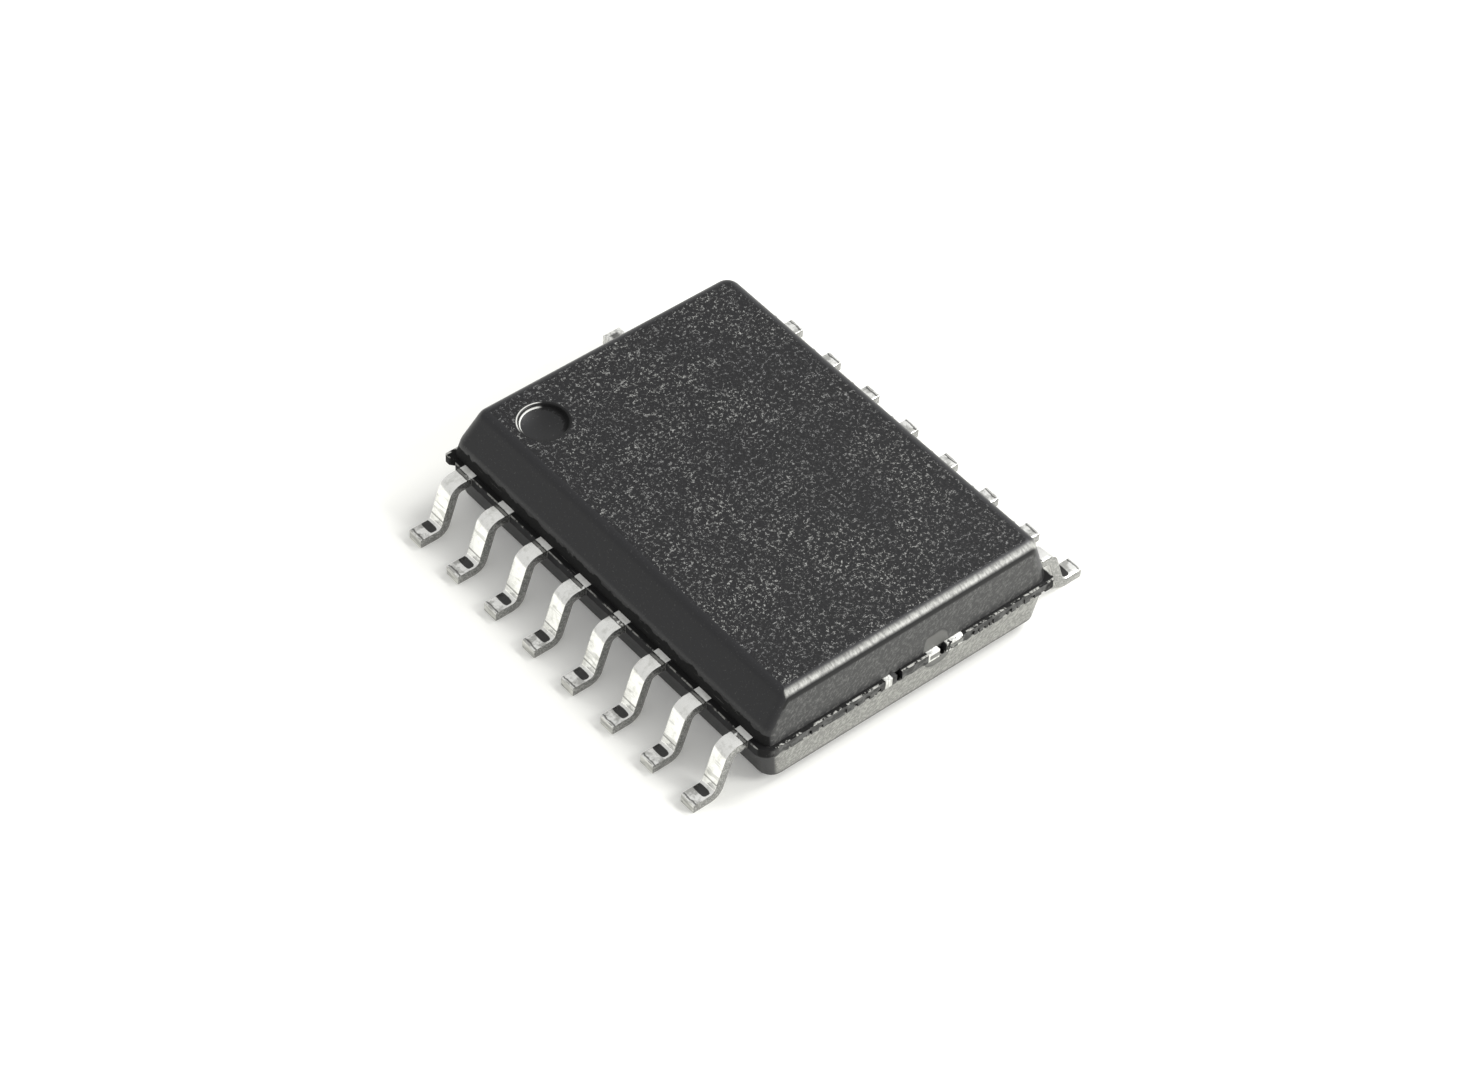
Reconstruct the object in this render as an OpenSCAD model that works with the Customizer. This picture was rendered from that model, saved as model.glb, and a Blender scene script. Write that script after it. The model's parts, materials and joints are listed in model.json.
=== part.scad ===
// Wide small-outline chip package with sixteen gull-wing leads.
// Millimetres. The origin is the package centre on the board, +Z up.
// The rows of feet lie along -X and +X, and pin 1 is at the -X, +Y corner.

/* [Package] */
// Foot tip to foot tip, across the two rows
tip_to_tip = 10.3; // [10.1:0.05:10.6]
// Length over the parting flange
package_len = 10.3; // [10.1:0.05:10.5]
// Height of the top face above the board
package_h = 2.35; // [2.25:0.05:2.6]
// Gap between the board and the moulding
standoff = 0.2; // [0.1:0.05:0.3]

/* [Leads] */
// Distance between neighbouring leads
pitch = 1.27; // [1.25:0.01:1.27]
// Width of a lead
lead_w = 0.4; // [0.31:0.01:0.48]
// Thickness of the leadframe strip
strip_t = 0.23; // [0.2:0.01:0.28]
// Height of the strip's top where it leaves the moulding
strip_top = 1.25; // [1.15:0.05:1.35]
// Length of the flat foot, from its tip to the heel's bend
foot_len = 0.42; // [0.36:0.02:0.6]
// Lean of the leg from upright, in degrees
leg_lean = 18; // [12:1:22]
// Inside radius of the two bends
bend_r = 0.12; // [0.1:0.01:0.18]

/* [Moulding] */
// Width of the moulding where its two halves meet
wall_w = 7.4; // [7.3:0.02:7.5]
// Width over the dam-bar flash between the leads
flash_w = 7.66; // [7.56:0.02:7.8]
// Ledge from the flange's edge to the end walls
end_ledge = 0.08; // [0.05:0.01:0.12]
// Draft of the upper half's side wall, in degrees
side_draft = 9.5; // [7:0.5:12]
// Draft of the upper half's end walls, in degrees
end_draft = 7.5; // [5:0.5:11]
// Draft of the lower half, in degrees
lower_draft = 8.5; // [5:0.5:12]
// Radius of the edges round the top face
edge_r = 0.28; // [0.15:0.01:0.32]
// Radius of the edges round the bottom face
bottom_r = 0.12; // [0.08:0.01:0.16]
// Radius of the upright corners
corner_r = 0.3; // [0.2:0.01:0.36]
// How far the long bevel cuts in along the pin 1 side
bevel_in = 0.51; // [0.4:0.01:0.56]
// How far the long bevel reaches down the pin 1 side
bevel_down = 0.73; // [0.65:0.01:0.8]
// Radius of the bend from the long bevel to the wall below it
toe_r = 0.3; // [0.1:0.05:0.4]
// Diameter of the round pin 1 mark
mark_d = 1.06; // [0.8:0.02:1.2]
// Depth of the pin 1 mark
mark_depth = 0.09; // [0.06:0.01:0.14]
// Diameter of the two ejector marks under the package
ejector_d = 1.0; // [0.8:0.05:1.2]
// Depth of the ejector marks
ejector_depth = 0.03; // [0.02:0.01:0.06]
// Length of the tie-bar stub left standing at the far end
stub_len = 0.76; // [0.2:0.02:0.9]

/* [Inside] */
// Width of the die paddle, across the package
paddle_w = 2.9; // [2.6:0.1:3.2]
// Length of the die paddle
paddle_len = 5.4; // [4.8:0.1:5.8]
// Width of the silicon die
die_w = 2.1; // [1.8:0.1:2.3]
// Length of the silicon die
die_len = 3.3; // [2.8:0.1:3.8]
// Thickness of the silicon die
die_t = 0.28; // [0.2:0.02:0.36]
// Thickness of the die-attach adhesive
attach_t = 0.03; // [0.02:0.01:0.05]
// Diameter of a bond wire
wire_d = 0.05; // [0.04:0.01:0.06]
// Height of a wire's loop above the die
loop_h = 0.22; // [0.16:0.02:0.3]

/* [Hidden] */
leads_a_side = 8;
lead_count = 2 * leads_a_side;

black = "#3a3a3c";
tin = "#e4e4e0";
copper = "#c08a5c";
silicon = "#6d7480";
adhesive = "#b9b9b0";
gold = "#d9b24c";

// How far a cutting shape runs past what it cuts
past = 1;

// Levels of the leadframe strip and of the stack on its paddle
strip_z = strip_top - strip_t;
attach_top = strip_top + attach_t;
die_top = attach_top + die_t;
loop_top = die_top + loop_h;

// The moulding's walls, measured from the centre
wall_x = wall_w / 2;
flash_x = flash_w / 2;
flange_y = package_len / 2;
wall_y = flange_y - end_ledge;
lower_y = flange_y - end_ledge / 2;
top_x = wall_x - (package_h - strip_top) * tan(side_draft);
top_y = wall_y - (package_h - strip_top) * tan(end_draft);
bottom_in = (strip_z - standoff) * tan(lower_draft);

// The long bevel's toe and upper edge, and how far it and the wall below it lean from upright
toe_ledge = 0.05;
toe_x = wall_x - toe_ledge;
toe_z = package_h - bevel_down;
bevel_x = toe_x - bevel_in;
bevel_angle = atan(bevel_in / bevel_down);
toe_angle = atan(toe_ledge / (toe_z - strip_top));

// Centres of the rim round the top face, over the side wall and over the end walls
rim_side = [top_x - edge_r * tan(45 - side_draft / 2), package_h - edge_r];
rim_end = [top_y - edge_r * tan(45 - end_draft / 2), package_h - edge_r];

// The flange's corners: [across, along, radius]. Flash is worn away at the near end of the pin 1 side.
flange_corners = [[-1, -1, 0.3], [1, -1, 0.08], [-1, 1, 0.03], [1, 1, 0.08]];

// The round mark's centre, from the bevel's edge and the far end, and its sloping rim
mark_x = -bevel_x + 0.82;
mark_y = top_y - 1.13;
mark_rim = 0.04;

// The ejector marks lie on the package's centre line, this far from its middle
ejector_y = 0.3 * package_len;

// Tie bars: [place across the package, width]
tie_bar_left = [-0.56, 0.3];
tie_bar_middle = [0.57, 0.3];
tie_bar_right = [1.13, 0.44];
tie_bars = [tie_bar_left, tie_bar_middle, tie_bar_right];
tie_bridge_y = 4.3;
tie_bridge_w = 0.3;

// Flash broken out beside the tie bars at the near end: [from, to]
left_gap = tie_bar_left[0] + tie_bar_left[1] / 2;
right_gap = tie_bar_middle[0] + tie_bar_middle[1] / 2;
broken_flash = [[left_gap, left_gap + 0.16], [right_gap, tie_bar_right[0] - tie_bar_right[1] / 2]];
broken_in = 0.16;

// A lead's inner finger, which fans in towards the paddle
root_x = flash_x + 0.1;
finger_w = 0.56;
finger_tip_w = 0.34;
finger_wide_x = wall_x - 0.3;
finger_bend_x = 3.1;
finger_tip_x = paddle_w / 2 + 0.28;
finger_fan = 0.72;

// A bond wire's ball on the die and its stitch on the finger
ball_d = 0.11;
ball_h = 0.03;
pad_in = 0.16;
stitch_in = 0.2;

// Pins 1 to 8 run along the -X side towards -Y, and 9 to 16 come back along the +X side
function pin_side(pin) = pin <= leads_a_side ? -1 : 1;
function pin_place(pin) = pin <= leads_a_side ? pin : lead_count + 1 - pin;
function pin_y(pin) = ((leads_a_side + 1) / 2 - pin_place(pin)) * pitch;

// Points along a round stretch of an outline
function arc(centre, r, from, to, steps = 6) =
    [for (i = [0 : steps]) let (a = from + (to - from) * i / steps) centre + r * [cos(a), sin(a)]];

// ---- Moulding ----

// Outline of the upper half across the package, with the long bevel on the pin 1 side
module upper_outline_across() {
    left_c = [edge_r * tan(45 - bevel_angle / 2) - bevel_x, package_h - edge_r];
    toe_way = 180 - (bevel_angle + toe_angle) / 2;
    toe_back = toe_r / cos((bevel_angle - toe_angle) / 2);
    toe_c = [-toe_x, toe_z] - toe_back * [cos(toe_way), sin(toe_way)];
    polygon(concat(
        [[-wall_x, strip_z], [wall_x, strip_z], [wall_x, strip_top]],
        arc(rim_side, edge_r, side_draft, 90),
        arc(left_c, edge_r, 90, 180 - bevel_angle),
        arc(toe_c, toe_r, 180 - bevel_angle, 180 - toe_angle),
        [[-wall_x, strip_top]]
    ));
}

// Outline of the upper half along the package
module upper_outline_along() {
    polygon(concat(
        [[-wall_y, strip_z], [wall_y, strip_z], [wall_y, strip_top]],
        arc(rim_end, edge_r, end_draft, 90),
        arc([-rim_end.x, rim_end.y], edge_r, 90, 180 - end_draft),
        [[-wall_y, strip_top]]
    ));
}

// Outline of the lower half, either way
module lower_outline(half) {
    c = [half - bottom_in - bottom_r * tan(45 - lower_draft / 2), standoff + bottom_r];
    polygon(concat(
        [[half, strip_top], [-half, strip_top], [-half, strip_z]],
        arc([-c.x, c.y], bottom_r, 180 + lower_draft, 270),
        arc(c, bottom_r, 270, 360 - lower_draft),
        [[half, strip_z]]
    ));
}

// What an outline across the package and one along it have in common
module crossed_outlines() {
    intersection() {
        rotate([90, 0, 0])
            linear_extrude(package_len + past, center = true)
                children(0);
        rotate([90, 0, 90])
            linear_extrude(wall_w + past, center = true)
                children(1);
    }
}

// A block with round upright corners, a hair wider than the drafted walls inside it.
// Each level is [height, left edge, right edge, half length, corner radius].
module round_cornered(levels) {
    hair = 0.007;
    hull()
        for (level = levels, x_side = [-1, 1], y_side = [-1, 1]) {
            r = level[4];
            edge = x_side < 0 ? level[1] - hair + r : level[2] + hair - r;
            translate([edge, y_side * (level[3] + hair - r), level[0]])
                cylinder(r = r, h = hair, $fn = 32);
        }
}

// Levels of the rim, where the corners tighten as the rim rolls in over the top face
function rim_level(angle) =
    let (z = package_h - edge_r + edge_r * sin(angle))
    [
        z,
        -bevel_x - (package_h - z) * tan(bevel_angle),
        rim_side.x + edge_r * cos(angle),
        rim_end.x + edge_r * cos(angle),
        max(corner_r - edge_r * (1 - cos(angle)), 0.02)
    ];

module upper_half() {
    toe_in = (toe_z - strip_top) * tan(side_draft);
    toe_back = (toe_z - strip_top) * tan(end_draft);
    intersection() {
        crossed_outlines() {
            upper_outline_across();
            upper_outline_along();
        }
        round_cornered(concat(
            [
                [strip_z - 0.01, -wall_x, wall_x, wall_y, corner_r],
                [strip_top, -wall_x, wall_x, wall_y, corner_r],
                [toe_z, -toe_x, wall_x - toe_in, wall_y - toe_back, corner_r]
            ],
            [for (angle = [10 : 16 : 90]) rim_level(angle)]
        ));
    }
}

module lower_half() {
    intersection() {
        crossed_outlines() {
            lower_outline(wall_x);
            lower_outline(lower_y);
        }
        round_cornered([
            [standoff - 0.01, bottom_in - wall_x, wall_x - bottom_in, lower_y - bottom_in, corner_r],
            [strip_z, -wall_x, wall_x, lower_y, corner_r],
            [strip_top, -wall_x, wall_x, lower_y, corner_r]
        ]);
    }
}

// Flash as thick as the strip: a flange at the ends and webs between the leads
module parting_flash() {
    translate([0, 0, strip_z])
        linear_extrude(strip_t)
            hull()
                for (corner = flange_corners)
                    translate([corner[0] * (flash_x - corner[2]), corner[1] * (flange_y - corner[2])])
                        circle(r = corner[2], $fn = 32);
}

module pin_1_mark() {
    floor_d = mark_d - 2 * mark_rim;
    translate([mark_x, mark_y, package_h - mark_depth])
        union() {
            cylinder(d = floor_d, h = past, $fn = 96);
            translate([0, 0, mark_depth - mark_rim])
                cylinder(d1 = floor_d, d2 = mark_d + 2 * mark_rim, h = 2 * mark_rim, $fn = 96);
        }
}

module ejector_marks() {
    for (y = [-ejector_y, ejector_y])
        translate([0, y, standoff - past])
            cylinder(d = ejector_d, h = past + ejector_depth, $fn = 96);
}

module broken_flash_gaps() {
    lip = 0.02;
    for (gap = broken_flash)
        translate([gap[0], -flange_y - past, strip_z + lip])
            cube([gap[1] - gap[0], past + broken_in, strip_t]);
}

module mould_body() {
    color(black)
        difference() {
            union() {
                upper_half();
                lower_half();
                parting_flash();
            }
            pin_1_mark();
            ejector_marks();
            broken_flash_gaps();
            die_paddle();
            die_attach();
            silicon_die();
            for (pin = [1 : lead_count]) {
                lead(pin);
                bond_wire(pin);
            }
        }
}

// ---- Leadframe ----

// Side view of the folded strip outside the moulding
module lead_outline() {
    tip_x = tip_to_tip / 2;
    outer_r = bend_r + strip_t;
    heel_c = [tip_x - foot_len, outer_r];
    shoulder_z = strip_z - bend_r;
    // The two bends share the leg, which is one strip thick and leans outwards
    drop = shoulder_z - heel_c.y;
    shoulder_c = [heel_c.x - (bend_r + outer_r + drop * sin(leg_lean)) / cos(leg_lean), shoulder_z];
    polygon(concat(
        [[flash_x - 0.1, strip_z], [flash_x - 0.1, strip_top]],
        arc(shoulder_c, outer_r, 90, leg_lean),
        arc(heel_c, bend_r, 180 + leg_lean, 270),
        [[tip_x, strip_t], [tip_x, 0]],
        arc(heel_c, outer_r, 270, 180 + leg_lean),
        arc(shoulder_c, bend_r, leg_lean, 90)
    ));
}

// Plan of the inner finger, which widens inside the wall so that it can't be pulled out
module finger_plan(y) {
    outer_half = lead_w / 2;
    wide_half = finger_w / 2;
    tip_half = finger_tip_w / 2;
    tip_y = y * finger_fan;
    polygon([
        [root_x, y - outer_half],
        [root_x, y + outer_half],
        [wall_x - 0.15, y + outer_half],
        [finger_wide_x, y + wide_half],
        [finger_bend_x, y + wide_half],
        [finger_tip_x, tip_y + tip_half],
        [finger_tip_x, tip_y - tip_half],
        [finger_bend_x, y - wide_half],
        [finger_wide_x, y - wide_half],
        [wall_x - 0.15, y - outer_half]
    ]);
}

module right_hand_lead(y) {
    union() {
        translate([0, y, 0])
            rotate([90, 0, 0])
                linear_extrude(lead_w, center = true)
                    lead_outline();
        translate([0, 0, strip_z])
            linear_extrude(strip_t)
                finger_plan(y);
    }
}

module lead(pin) {
    color(tin)
        if (pin_side(pin) > 0)
            right_hand_lead(pin_y(pin));
        else
            mirror([1, 0, 0])
                right_hand_lead(pin_y(pin));
}

// One end's tie bars, with the pair on the right joined by a bridge
module tie_bars_at_end(stub) {
    bridge_from = tie_bar_middle[0] - tie_bar_middle[1] / 2;
    bridge_to = tie_bar_right[0] + tie_bar_right[1] / 2;
    start_y = paddle_len / 2 - 0.1;
    for (bar = [tie_bar_left, tie_bar_middle])
        translate([bar[0] - bar[1] / 2, start_y])
            square([bar[1], flange_y - start_y]);
    translate([bridge_from, tie_bridge_y - tie_bridge_w / 2])
        square([bridge_to - bridge_from, tie_bridge_w]);
    translate([tie_bar_right[0] - tie_bar_right[1] / 2, tie_bridge_y])
        square([tie_bar_right[1], flange_y + stub - tie_bridge_y]);
}

module die_paddle() {
    color(copper)
        translate([0, 0, strip_z])
            linear_extrude(strip_t)
                union() {
                    square([paddle_w, paddle_len], center = true);
                    tie_bars_at_end(stub_len);
                    mirror([0, 1])
                        tie_bars_at_end(0);
                }
}

// ---- Die and wires ----

module die_attach() {
    fillet = 0.1;
    color(adhesive)
        translate([0, 0, strip_top + attach_t / 2])
            cube([die_w + fillet, die_len + fillet, attach_t], center = true);
}

module silicon_die() {
    color(silicon)
        translate([0, 0, attach_top + die_t / 2])
            cube([die_w, die_len, die_t], center = true);
}

// A straight, eight-sided run of wire between two points of its side view,
// cut at each end along the given direction so that it meets the next run
module wire_run(from, to, from_cut, to_cut) {
    run = to - from;
    reach = 2 * wire_d;
    intersection() {
        translate([from.x, 0, from.y])
            rotate([0, 90 - atan2(run.y, run.x), 0])
                translate([0, 0, -reach])
                    cylinder(d = wire_d, h = norm(run) + 2 * reach, $fn = 8);
        rotate([90, 0, 0])
            linear_extrude(2 * reach, center = true)
                polygon([
                    from - reach * from_cut,
                    to - reach * to_cut,
                    to + reach * to_cut,
                    from + reach * from_cut
                ]);
    }
}

// The line that halves the corner at b on the way from a to c, drawn towards the inside of the turn
function mitre(a, b, c) =
    let (u = (b - a) / norm(b - a), v = (c - b) / norm(c - b), w = u - v) -w / norm(w);

module bond_wire(pin) {
    side = pin_side(pin);
    spread = (die_len / 2 - pad_in) / pin_y(1);
    pad = [side * (die_w / 2 - pad_in), pin_y(pin) * spread];
    stitch = [side * (finger_tip_x + stitch_in), pin_y(pin) * finger_fan];
    span = norm(stitch - pad);
    path = [
        [0, die_top],
        [0.02, loop_top - 0.06],
        [0.2 * span, loop_top],
        [span, strip_top]
    ];
    neck_cut = mitre(path[0], path[1], path[2]);
    crown_cut = mitre(path[1], path[2], path[3]);
    color(gold)
        translate([pad.x, pad.y, 0])
            rotate([0, 0, atan2(stitch.y - pad.y, stitch.x - pad.x)])
                union() {
                    translate([0, 0, die_top])
                        cylinder(d = ball_d, h = ball_h, $fn = 8);
                    wire_run(path[0], path[1], [1, 0], neck_cut);
                    wire_run(path[1], path[2], neck_cut, crown_cut);
                    wire_run(path[2], path[3], crown_cut, [-1, 0]);
                }
}

mould_body();
die_paddle();
die_attach();
silicon_die();
for (pin = [1 : lead_count]) {
    lead(pin);
    bond_wire(pin);
}
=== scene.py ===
# %% [markdown]
# # A wide small-outline chip on a white table
#
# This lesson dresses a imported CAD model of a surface-mount chip: a block of black mould compound
# that stands on sixteen folded, tin-plated leads. The CAD model already has the true sizes. Here
# each piece that shows is modelled again with the edges, flash and tool marks that moulding,
# trimming and folding leave behind, and every piece gets a material made of nodes.
#
# The first cell loads the model as a fixed frame. Nothing in the frame is ever moved: new pieces
# are fitted to it.

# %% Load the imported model
import json
import math
import random

import bmesh
import bpy
from mathutils import Matrix, Vector

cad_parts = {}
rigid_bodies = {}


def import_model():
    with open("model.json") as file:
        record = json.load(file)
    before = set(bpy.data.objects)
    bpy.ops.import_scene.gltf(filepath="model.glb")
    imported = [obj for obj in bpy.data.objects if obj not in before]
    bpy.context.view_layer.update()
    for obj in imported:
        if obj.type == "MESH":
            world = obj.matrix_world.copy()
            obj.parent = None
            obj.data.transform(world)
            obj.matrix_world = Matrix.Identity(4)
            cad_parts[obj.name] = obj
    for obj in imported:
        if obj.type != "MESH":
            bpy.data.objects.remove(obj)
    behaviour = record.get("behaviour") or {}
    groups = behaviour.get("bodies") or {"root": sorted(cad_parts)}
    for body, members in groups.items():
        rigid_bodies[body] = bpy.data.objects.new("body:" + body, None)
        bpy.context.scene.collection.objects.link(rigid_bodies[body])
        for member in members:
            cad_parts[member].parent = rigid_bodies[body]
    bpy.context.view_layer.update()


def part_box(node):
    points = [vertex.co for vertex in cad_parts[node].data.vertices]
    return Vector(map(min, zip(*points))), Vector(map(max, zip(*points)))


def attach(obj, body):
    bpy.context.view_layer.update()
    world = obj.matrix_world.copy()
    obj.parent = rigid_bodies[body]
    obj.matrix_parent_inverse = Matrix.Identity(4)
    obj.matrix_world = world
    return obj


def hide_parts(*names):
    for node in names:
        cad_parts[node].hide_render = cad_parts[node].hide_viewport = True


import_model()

MM = 0.001

# %% [markdown]
# ## Sizes
#
# Places come from the frame wherever a node gives them. The rest are the shape of the mould and
# of the folded strip, in millimetres, written once here.

# %% Measure the frame
body_low, body_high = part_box("mould_body")
paddle_low, paddle_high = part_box("die_paddle")
strip_low, strip_top = paddle_low.z, paddle_high.z
strip_t = strip_top - strip_low
top_z, bottom_z = body_high.z, body_low.z
flash_x, flange_y = body_high.x, -body_low.y
tip_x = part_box("lead_16")[1].x
pitch = 1.27 * MM
leads_a_side = 8
lead_w = 0.4 * MM
print(f"strip {strip_t / MM:.2f} mm thick, foot tips at {tip_x / MM:.2f} mm")

# %% The mould's shape
wall_x = 3.7 * MM
wall_y = flange_y - 0.11 * MM
lower_y = flange_y - 0.04 * MM
bevel_side_draft, other_side_draft = math.radians(9.5), math.radians(15)
near_end_draft, far_end_draft = math.radians(6.2), math.radians(11)
lower_draft, lower_end_draft = math.radians(8.5), math.radians(5)
top_x = wall_x - (top_z - strip_top) * math.tan(bevel_side_draft)
top_y = wall_y - (top_z - strip_top) * math.tan(near_end_draft)
toe_x, toe_z = wall_x - 0.05 * MM, top_z - 0.73 * MM
bevel_x = toe_x - 0.51 * MM
bevel_angle = math.atan2(toe_x - bevel_x, top_z - toe_z)
toe_angle = math.atan2(wall_x - toe_x, toe_z - strip_top)
rim_r, bottom_r, toe_r = 0.28 * MM, 0.08 * MM, 0.3 * MM
mark_r = 0.53 * MM
mark_depth = 0.09 * MM
mark_place = Vector((-bevel_x + 0.82 * MM, flange_y - 1.355 * MM, top_z))
print(f"top face {2 * top_y / MM:.2f} mm long, bevel leans {math.degrees(bevel_angle):.0f} degrees")


# %% [markdown]
# ## The camera
#
# The camera comes first, so that every later step can be judged through it. It looks down at
# about 47 degrees over the corner between the pin 1 side and the near end, rolled 3 degrees, with
# a long lens, so that the chip's edges stay nearly parallel.

# %% Place the camera
def look_from(azimuth, elevation, roll):
    """How a camera is turned that looks down at these angles and is rolled about its own axis."""
    a, e = math.radians(azimuth), math.radians(elevation)
    back = Vector((math.sin(a) * math.cos(e), -math.cos(a) * math.cos(e), math.sin(e)))
    turn = back.to_track_quat("Z", "Y").to_matrix() @ Matrix.Rotation(math.radians(roll), 3, "Z")
    return turn.to_4x4()


camera_data = bpy.data.cameras.new("camera")
camera = bpy.data.objects.new("camera", camera_data)
bpy.context.scene.collection.objects.link(camera)
camera_data.sensor_width = 36
camera_data.lens = 102.94
camera_data.clip_start = 0.001
camera_place = Vector((-39.244, -43.593, 63.217)) * MM
camera.matrix_world = Matrix.Translation(camera_place) @ look_from(-41.695, 46.895, 3.047)
bpy.context.scene.camera = camera
bpy.context.scene.view_settings.view_transform = "Standard"
print("camera is", round(camera_place.length / MM, 1), "mm from the chip's centre")


# %% [markdown]
# ## Working by hand, in code
#
# A few helpers stand for what a hand does at the screen: clear the selection, add a block, pick
# vertices or edges by where they are, move or round them, and finish with a modifier.

# %% Helpers for selecting
def clear_selection():
    if bpy.context.mode != "OBJECT":
        bpy.ops.object.mode_set(mode="OBJECT")
    bpy.ops.object.select_all(action="DESELECT")


def select_only(piece):
    clear_selection()
    piece.select_set(True)
    bpy.context.view_layer.objects.active = piece


def open_piece(piece):
    """Select one piece alone and enter edit mode on it."""
    select_only(piece)
    bpy.ops.object.mode_set(mode="EDIT")


def close_piece():
    bpy.ops.object.mode_set(mode="OBJECT")


def pick(kind, test):
    """In edit mode, select only the VERT, EDGE or FACE items that pass the test."""
    bpy.ops.mesh.select_mode(type=kind)
    bpy.ops.mesh.select_all(action="DESELECT")
    shape = bpy.context.edit_object.data
    mesh = bmesh.from_edit_mesh(shape)
    items = {"VERT": mesh.verts, "EDGE": mesh.edges, "FACE": mesh.faces}[kind]
    for item in items:
        if test(item):
            item.select_set(True)
    mesh.select_flush_mode()
    bmesh.update_edit_mesh(shape)
    return sum(item.select for item in items)


def near(a, b, slack=0.002 * MM):
    return abs(a - b) < slack


# %% Helpers for shaping
def block(name, low, high):
    """A box between two corners, its place kept in its mesh."""
    clear_selection()
    bpy.ops.mesh.primitive_cube_add(size=1)
    piece = bpy.context.active_object
    piece.name = name
    low, high = Vector(low), Vector(high)
    piece.location = (low + high) / 2
    piece.scale = high - low
    bpy.ops.object.transform_apply(location=True, rotation=True, scale=True)
    return piece


def extrude_by(offset):
    bpy.ops.mesh.extrude_region_move(TRANSFORM_OT_translate={"value": offset})


def use_modifier(piece, kind, **settings):
    """Add a modifier, set it up and apply it."""
    select_only(piece)
    modifier = piece.modifiers.new(kind.lower(), kind)
    for name, value in settings.items():
        setattr(modifier, name, value)
    bpy.ops.object.modifier_apply(modifier=modifier.name)


def combine(piece, other, operation):
    """Join another solid to the piece, or cut it out of it, and throw the other one away."""
    use_modifier(piece, "BOOLEAN", operation=operation, solver="EXACT", object=other)
    bpy.data.objects.remove(other)


def face_outwards(piece):
    open_piece(piece)
    bpy.ops.mesh.select_all(action="SELECT")
    bpy.ops.mesh.remove_doubles(threshold=1e-7)
    bpy.ops.mesh.normals_make_consistent(inside=False)
    close_piece()


def soften_edges(piece, width):
    """Take the sharpness off every edge that turns by more than 50 degrees."""
    use_modifier(piece, "BEVEL", width=width, segments=2, limit_method="ANGLE",
                 angle_limit=math.radians(50))


def smooth(piece, angle=35):
    """Smooth shading that keeps edges sharper than the angle, and keeps flat faces flat."""
    select_only(piece)
    bpy.ops.object.shade_smooth_by_angle(angle=math.radians(angle))
    use_modifier(piece, "WEIGHTED_NORMAL", keep_sharp=True, weight=80)


def show(piece):
    print(f"{piece.name}: {len(piece.data.vertices)} vertices, {len(piece.data.polygons)} faces")


# %% [markdown]
# ## The moulding
#
# Two halves of a steel mould close on the flat leadframe. Each half is drafted so that the block
# drops out, and the upper half has one long bevel, on the pin 1 side. Where the halves meet, a
# thin frame of flash as thick as the strip stands out all round.
#
# A bevel can't give a wide rim, narrow upright corners and a bend at the bevel's toe all at once.
# So each half is raised in levels: a plane with rounded corners is extruded step by step, and at
# each step its four corners are moved and tightened to where the walls then are.

# %% Where the walls stand at a height
def wall_at(z, draft, edge_at_top, face_z, radius):
    """Distance of a drafted wall from the middle; its rim rolls in to the face at face_z."""
    depth = abs(face_z - z)
    centre = edge_at_top - radius * math.tan(math.radians(45) - draft / 2)
    if depth >= radius * (1 - math.sin(draft)):
        return edge_at_top + depth * math.tan(draft)
    return centre + math.sqrt(max(radius ** 2 - (radius - depth) ** 2, 0))


def bevel_side_at(z):
    """The pin 1 side: the long bevel above, the wall below, and a soft bend at the bevel's toe."""
    bevel = wall_at(z, bevel_angle, bevel_x, top_z, rim_r)
    wall = toe_x + (toe_z - z) * math.tan(toe_angle)
    way = (bevel_angle + toe_angle) / 2
    back = toe_r / math.cos((bevel_angle - toe_angle) / 2)
    centre_x, centre_z = toe_x - back * math.cos(way), toe_z - back * math.sin(way)
    lift = z - centre_z
    if toe_r * math.sin(toe_angle) < lift < toe_r * math.sin(bevel_angle):
        return centre_x + math.sqrt(toe_r ** 2 - lift ** 2)
    return min(bevel, wall)


# %% Raise a block level by level
corners = [(across, along) for across in (-1, 1) for along in (-1, 1)]


def corner_centre(level, corner):
    """Middle of a corner's arc. A level is z, pin 1 side, other side, near end, far end, radii."""
    z, left, right, near_end, far_end, radii = level
    across, along = corner
    side = left if across < 0 else right
    end = near_end if along < 0 else far_end
    return Vector((across * (side - radii[corner]), along * (end - radii[corner]), z))


def first_level(name, level):
    z, left, right, near_end, far_end, radii = level
    clear_selection()
    bpy.ops.mesh.primitive_plane_add(size=1)
    piece = bpy.context.active_object
    piece.name = name
    piece.scale = (left + right, near_end + far_end, 1)
    piece.location = ((right - left) / 2, (far_end - near_end) / 2, z)
    bpy.ops.object.transform_apply(location=True, rotation=True, scale=True)
    open_piece(piece)
    for corner in corners:
        centre, reach = corner_centre(level, corner), 1.5 * radii[corner]
        pick("VERT", lambda v: (v.co.xy - centre.xy).length < reach)
        bpy.ops.mesh.bevel(offset=radii[corner], segments=10, affect="VERTICES")
    return piece


def next_level(last, level):
    pick("FACE", lambda f: near(f.calc_center_median().z, last[0], 1e-8) and abs(f.normal.z) > 0.9)
    extrude_by((0, 0, level[0] - last[0]))
    for corner in corners:
        before, after = corner_centre(last, corner), corner_centre(level, corner)
        before.z = level[0]
        pick("VERT", lambda v: near(v.co.z, level[0], 1e-8) and v.co.x * corner[0] > 0
             and v.co.y * corner[1] > 0)
        tighter = level[-1][corner] / last[-1][corner]
        bpy.ops.transform.resize(value=(tighter, tighter, 1), center_override=before)
        bpy.ops.transform.translate(value=after - before)


def raise_block(name, levels):
    piece = first_level(name, levels[0])
    for last, level in zip(levels, levels[1:]):
        next_level(last, level)
    close_piece()
    face_outwards(piece)
    return piece


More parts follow.
